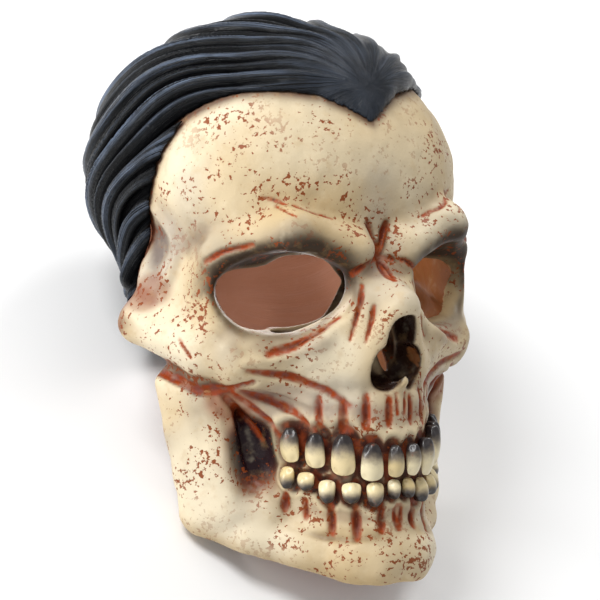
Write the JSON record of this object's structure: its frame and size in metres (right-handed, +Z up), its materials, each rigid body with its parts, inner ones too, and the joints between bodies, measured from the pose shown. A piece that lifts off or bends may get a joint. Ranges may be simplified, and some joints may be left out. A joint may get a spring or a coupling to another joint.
{
  "type": "skull mask",
  "caption": "Full-head skull mask with a bone face, open eye holes, bared teeth, a hanging lower jaw and swept-back moulded hair, open at the neck, lying face up",
  "frame": {"origin": "on the surface that the mask lies on, under the middle of its bounding box", "axes": "+Z up, +Y from the chin towards the back of the head as the mask lies face up at a slant, +X towards the wearer's left"},
  "size_m": [0.2028, 0.3312, 0.224],
  "materials": {
    "bone": "painted latex, satin, cream with rust-brown wash in its pits",
    "hair": "painted latex, black, semi-gloss, sculpted strands",
    "tooth": "painted latex, semi-gloss ivory, darker at the gum"
  },
  "bodies": {
    "root": {"face_shell": "bone", "lower_jaw": "bone", "hair_cap": "hair", "upper_tooth_1": "tooth", "upper_tooth_2": "tooth", "upper_tooth_3": "tooth", "upper_tooth_4": "tooth", "upper_tooth_5": "tooth", "upper_tooth_6": "tooth", "upper_tooth_7": "tooth", "upper_tooth_8": "tooth", "upper_tooth_9": "tooth", "upper_tooth_10": "tooth", "lower_tooth_1": "tooth", "lower_tooth_2": "tooth", "lower_tooth_3": "tooth", "lower_tooth_4": "tooth", "lower_tooth_5": "tooth", "lower_tooth_6": "tooth", "lower_tooth_7": "tooth", "lower_tooth_8": "tooth", "lower_tooth_9": "tooth", "lower_tooth_10": "tooth", "lower_tooth_11": "tooth", "lower_tooth_12": "tooth"}
  },
  "joints": []
}
